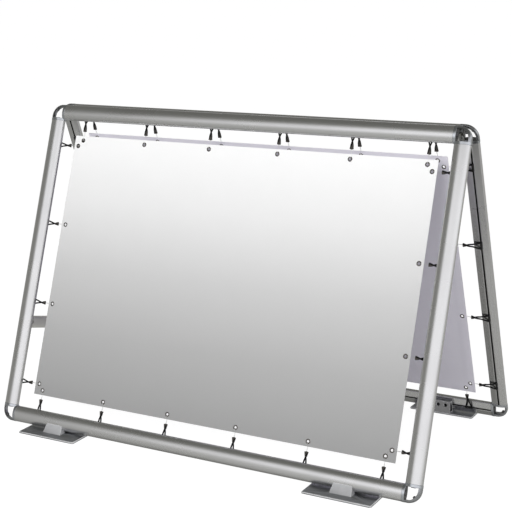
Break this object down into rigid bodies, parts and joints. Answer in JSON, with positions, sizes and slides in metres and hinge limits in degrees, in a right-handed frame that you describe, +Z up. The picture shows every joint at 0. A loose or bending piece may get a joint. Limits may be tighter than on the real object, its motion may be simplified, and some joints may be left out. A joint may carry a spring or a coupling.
{
  "type": "a-frame banner stand",
  "caption": "Folding A-frame stand: two leaning slotted aluminium frames hinged at the top, each with a banner laced in by elastic ties, on flat plate feet.",
  "frame": {"origin": "on the floor, midway between the two frames and midway along their width", "axes": "+X along the width to the stand's right seen from the front, +Y from the front frame to the back frame, +Z up"},
  "size_m": [1.7256, 1.0172, 1.1796],
  "materials": {
    "rail_aluminium": "satin anodised, drawn along the rail",
    "corner_aluminium": "glossy dark cast aluminium",
    "foot_steel": "satin dark grey",
    "bracket_aluminium": "satin extruded",
    "hinge_steel": "dull plated",
    "banner_vinyl": "matt coated fabric, plain",
    "tie_rubber": "black elastic cord",
    "stay_aluminium": "satin extruded"
  },
  "bodies": {
    "front_frame": {"front_top_rail": "rail_aluminium", "front_bottom_rail": "rail_aluminium", "front_left_upright": "rail_aluminium", "front_right_upright": "rail_aluminium", "front_top_left_corner": "corner_aluminium", "front_top_right_corner": "corner_aluminium", "front_bottom_left_corner": "corner_aluminium", "front_bottom_right_corner": "corner_aluminium", "front_left_foot": "foot_steel", "front_right_foot": "foot_steel", "front_left_foot_bracket": "bracket_aluminium", "front_right_foot_bracket": "bracket_aluminium", "front_banner": "banner_vinyl", "front_top_tie_1": "tie_rubber", "front_top_tie_2": "tie_rubber", "front_top_tie_3": "tie_rubber", "front_top_tie_4": "tie_rubber", "front_top_tie_5": "tie_rubber", "front_top_tie_6": "tie_rubber", "front_bottom_tie_1": "tie_rubber", "front_bottom_tie_2": "tie_rubber", "front_bottom_tie_3": "tie_rubber", "front_bottom_tie_4": "tie_rubber", "front_bottom_tie_5": "tie_rubber", "front_bottom_tie_6": "tie_rubber", "left_hinge_front_leaf": "hinge_steel", "right_hinge_front_leaf": "hinge_steel", "left_hinge_pin": "hinge_steel", "right_hinge_pin": "hinge_steel", "stay_front_bracket": "hinge_steel"},
    "back_frame": {"back_top_rail": "rail_aluminium", "back_bottom_rail": "rail_aluminium", "back_left_upright": "rail_aluminium", "back_right_upright": "rail_aluminium", "back_top_left_corner": "corner_aluminium", "back_top_right_corner": "corner_aluminium", "back_bottom_left_corner": "corner_aluminium", "back_bottom_right_corner": "corner_aluminium", "back_left_foot": "foot_steel", "back_right_foot": "foot_steel", "back_left_foot_bracket": "bracket_aluminium", "back_right_foot_bracket": "bracket_aluminium", "back_banner": "banner_vinyl", "back_top_tie_1": "tie_rubber", "back_top_tie_2": "tie_rubber", "back_top_tie_3": "tie_rubber", "back_top_tie_4": "tie_rubber", "back_top_tie_5": "tie_rubber", "back_top_tie_6": "tie_rubber", "back_bottom_tie_1": "tie_rubber", "back_bottom_tie_2": "tie_rubber", "back_bottom_tie_3": "tie_rubber", "back_bottom_tie_4": "tie_rubber", "back_bottom_tie_5": "tie_rubber", "back_bottom_tie_6": "tie_rubber", "left_hinge_back_leaf": "hinge_steel", "right_hinge_back_leaf": "hinge_steel", "stay_rear_bracket": "hinge_steel"},
    "stay_front_arm": {"stay_front_arm": "stay_aluminium"},
    "stay_rear_arm": {"stay_rear_arm": "stay_aluminium"}
  },
  "joints": [
    {"name": "frame_fold", "type": "hinge", "parent": "front_frame", "child": "back_frame", "pos_m": [0, 0, 1.13054], "axis": [-1, 0, 0], "range_deg": [0, 37]},
    {"name": "stay_front_swing", "type": "hinge", "parent": "front_frame", "child": "stay_front_arm", "pos_m": [-0.84, -0.27095, 0.35841], "axis": [1, 0, 0], "range_deg": [0, 83.3]},
    {"name": "stay_rear_swing", "type": "hinge", "parent": "back_frame", "child": "stay_rear_arm", "pos_m": [-0.825, 0.3281, 0.20054], "axis": [-1, 0, 0], "range_deg": [0, 54.5]}
  ],
  "couplings": [
    {"joint": "stay_front_swing", "follows": "frame_fold", "ratio": 2.2495},
    {"joint": "stay_rear_swing", "follows": "frame_fold", "ratio": 1.4702}
  ]
}
